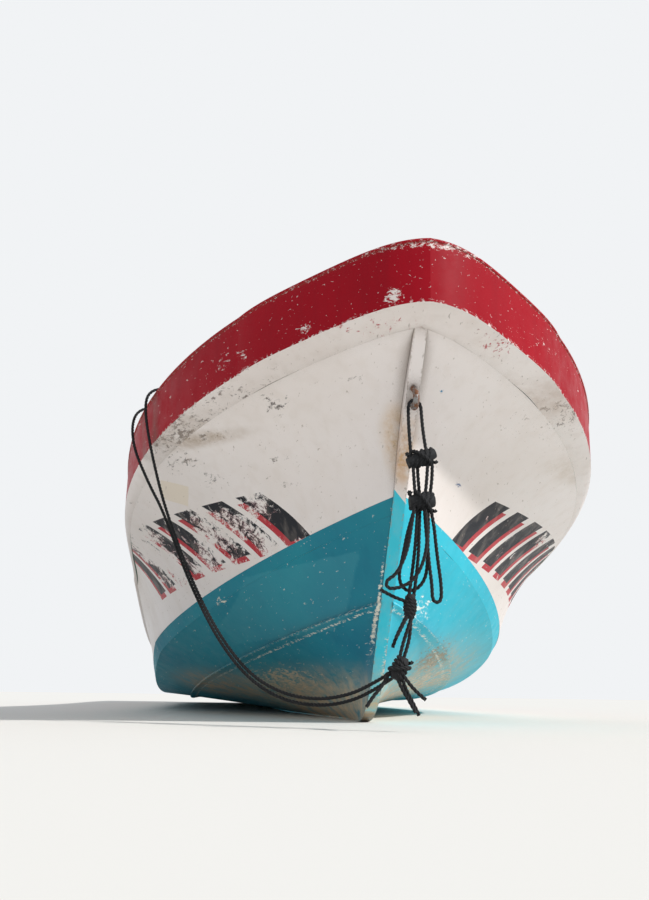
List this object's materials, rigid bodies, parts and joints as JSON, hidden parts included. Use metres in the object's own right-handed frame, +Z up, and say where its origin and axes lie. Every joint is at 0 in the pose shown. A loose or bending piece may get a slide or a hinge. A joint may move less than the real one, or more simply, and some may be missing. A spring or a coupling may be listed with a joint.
{
  "type": "open beach launch",
  "caption": "Open fibreglass beach launch with a high flared bow, foredeck hatch, side benches and thwarts, and a black mooring line at the bow eye.",
  "frame": {"origin": "on the ground under the middle of the hull's length and breadth", "axes": "+Z up, +X to port, +Y towards the stern, so the bow faces -Y"},
  "size_m": [2.0086, 7.106, 1.4466],
  "materials": {
    "turquoise_paint": "worn bottom paint",
    "green_paint": "worn inside paint",
    "galvanised": "galvanised, rusty",
    "red_paint": "worn gloss gelcoat and paint",
    "rope": "black braided rope",
    "plastic": "plain",
    "deck_paint": "rough non-slip paint",
    "white_paint": "worn gloss gelcoat and paint",
    "wood": "weathered"
  },
  "bodies": {
    "hull": {"bottom_port": "turquoise_paint", "bottom_starboard": "turquoise_paint", "bow_bulkhead": "green_paint", "bow_cleat_port": "galvanised", "bow_cleat_starboard": "galvanised", "bow_eye": "galvanised", "bulwark": "red_paint", "chine_strip_port": "turquoise_paint", "chine_strip_starboard": "turquoise_paint", "cleat_hitch": "rope", "drain_socket": "plastic", "eye_rope_bundle": "rope", "eye_rope_ends": "rope", "eye_rope_knots": "rope", "eye_rope_left_loop": "rope", "eye_rope_loop": "rope", "eye_rope_lower_strands": "rope", "eye_rope_right_loop": "rope", "eye_rope_small_loop": "rope", "eye_rope_strands": "rope", "eye_rope_tails": "rope", "foredeck": "deck_paint", "forward_seat": "green_paint", "gunwale_cap": "white_paint", "gunwale_line_aft": "rope", "gunwale_line_fore": "rope", "hatch_hinges": "galvanised", "keel_pad": "turquoise_paint", "motor_pad_inner": "wood", "motor_pad_outer": "wood", "rowlock_socket_port": "galvanised", "rowlock_socket_starboard": "galvanised", "rub_band": "white_paint", "side_bench_port": "green_paint", "side_bench_starboard": "green_paint", "sole": "green_paint", "spray_rail_port": "turquoise_paint", "spray_rail_starboard": "turquoise_paint", "stem_band": "white_paint", "stern_cleat_port": "galvanised", "stern_cleat_starboard": "galvanised", "stern_eye_port": "galvanised", "stern_eye_starboard": "galvanised", "stern_knee_port": "green_paint", "stern_knee_starboard": "green_paint", "thwart_aft": "green_paint", "thwart_forward": "green_paint", "thwart_middle": "green_paint", "topside_port": "white_paint", "topside_starboard": "white_paint", "transom": "white_paint", "transom_cap": "white_paint"},
    "hatch_lid": {"hatch_lid": "white_paint"}
  },
  "joints": [
    {"name": "hatch_hinge", "type": "hinge", "parent": "hull", "child": "hatch_lid", "pos_m": [0, -2.94537, 1.05139], "axis": [1, 0, 0], "range_deg": [0, 100]}
  ]
}
